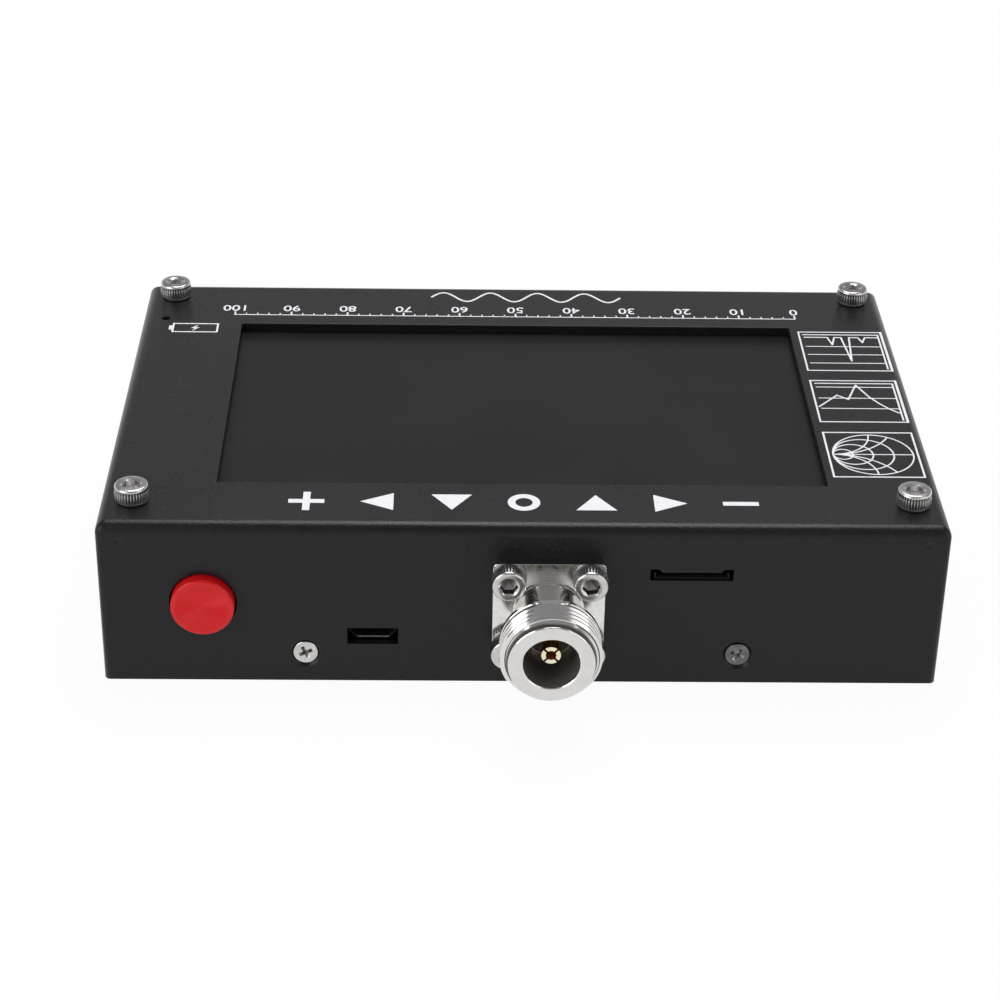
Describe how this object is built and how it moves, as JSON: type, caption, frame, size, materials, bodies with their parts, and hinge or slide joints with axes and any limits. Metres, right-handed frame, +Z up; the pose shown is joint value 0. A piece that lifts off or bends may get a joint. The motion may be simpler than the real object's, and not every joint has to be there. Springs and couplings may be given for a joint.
{
  "type": "antenna analyzer",
  "caption": "Hand-held antenna analyzer: flat black folded sheet-metal case with a wide touch screen, a coaxial panel jack, a red push button, a charging socket and a memory-card slot.",
  "frame": {"origin": "centre of the case's flat underside, which is the face it lies on", "axes": "+X along the long side of the case, to the right when the jack faces the viewer; +Y from the jack's wall to the rear wall; +Z up out of the screen"},
  "size_m": [0.1324, 0.1019, 0.0316],
  "materials": {
    "case_paint": "satin, fine texture",
    "bright_steel": "polished",
    "dark_steel": "satin",
    "steel": "satin",
    "nickel": "polished",
    "gold": "plated",
    "brass": "bare",
    "insulator": "matte",
    "touch_film": "satin",
    "display_glass": "satin",
    "foam": "matte",
    "red_plastic": "gloss",
    "black_plastic": "matte",
    "grey_plastic": "matte",
    "white_plastic": "matte",
    "clear_plastic": "gloss",
    "board": "satin, with a solder mask",
    "chip": "matte",
    "tinned": "satin",
    "can_metal": "satin",
    "cable_film": "gloss",
    "battery_wrap": "satin",
    "tape": "matte",
    "red_wire": "satin",
    "black_wire": "satin",
    "spring_steel": "bright"
  },
  "bodies": {
    "analyzer": {"top_cover": "case_paint", "bottom_cover": "case_paint", "cover_screws": "dark_steel", "clinch_nuts": "steel", "corner_cap_screws": "bright_steel", "corner_spacers": "brass", "hex_standoffs": "brass", "board_nuts": "steel", "display_gasket": "foam", "touch_panel": "touch_film", "display_glass": "display_glass", "display_frame": "steel", "display_flex": "cable_film", "display_connector": "white_plastic", "touch_flex": "cable_film", "touch_connector": "white_plastic", "controller_board": "board", "radio_board": "board", "header_pins": "gold", "header_base": "black_plastic", "header_socket": "black_plastic", "processor_chip": "chip", "memory_chips": "chip", "controller_crystal": "can_metal", "radio_crystal": "can_metal", "mixer_chips": "chip", "charger_chip": "chip", "power_inductor": "grey_plastic", "can_capacitors": "can_metal", "charging_light": "clear_plastic", "screening_fence": "tinned", "screening_lid": "tinned", "usb_shell": "steel", "usb_tongue": "black_plastic", "card_socket_base": "grey_plastic", "card_socket_shell": "steel", "jack_body": "nickel", "jack_insulator": "insulator", "jack_contact": "gold", "jack_flange_screws": "bright_steel", "jack_nuts": "steel", "antenna_link": "tinned", "switch_housing": "black_plastic", "switch_base": "black_plastic", "battery_tape": "tape", "battery_pack": "battery_wrap", "battery_lead_red": "red_wire", "battery_lead_black": "black_wire", "battery_plug": "white_plastic", "battery_socket": "white_plastic"},
    "power_button": {"power_button": "red_plastic", "switch_plunger": "white_plastic", "switch_spring": "spring_steel"}
  },
  "joints": [
    {"name": "power_button_press", "type": "slide", "parent": "analyzer", "child": "power_button", "axis": [0, 1, 0], "range_m": [0, 0.0015], "stiffness_N_per_m": 400, "springref_m": -0.003, "deforming": ["switch_spring"]}
  ]
}
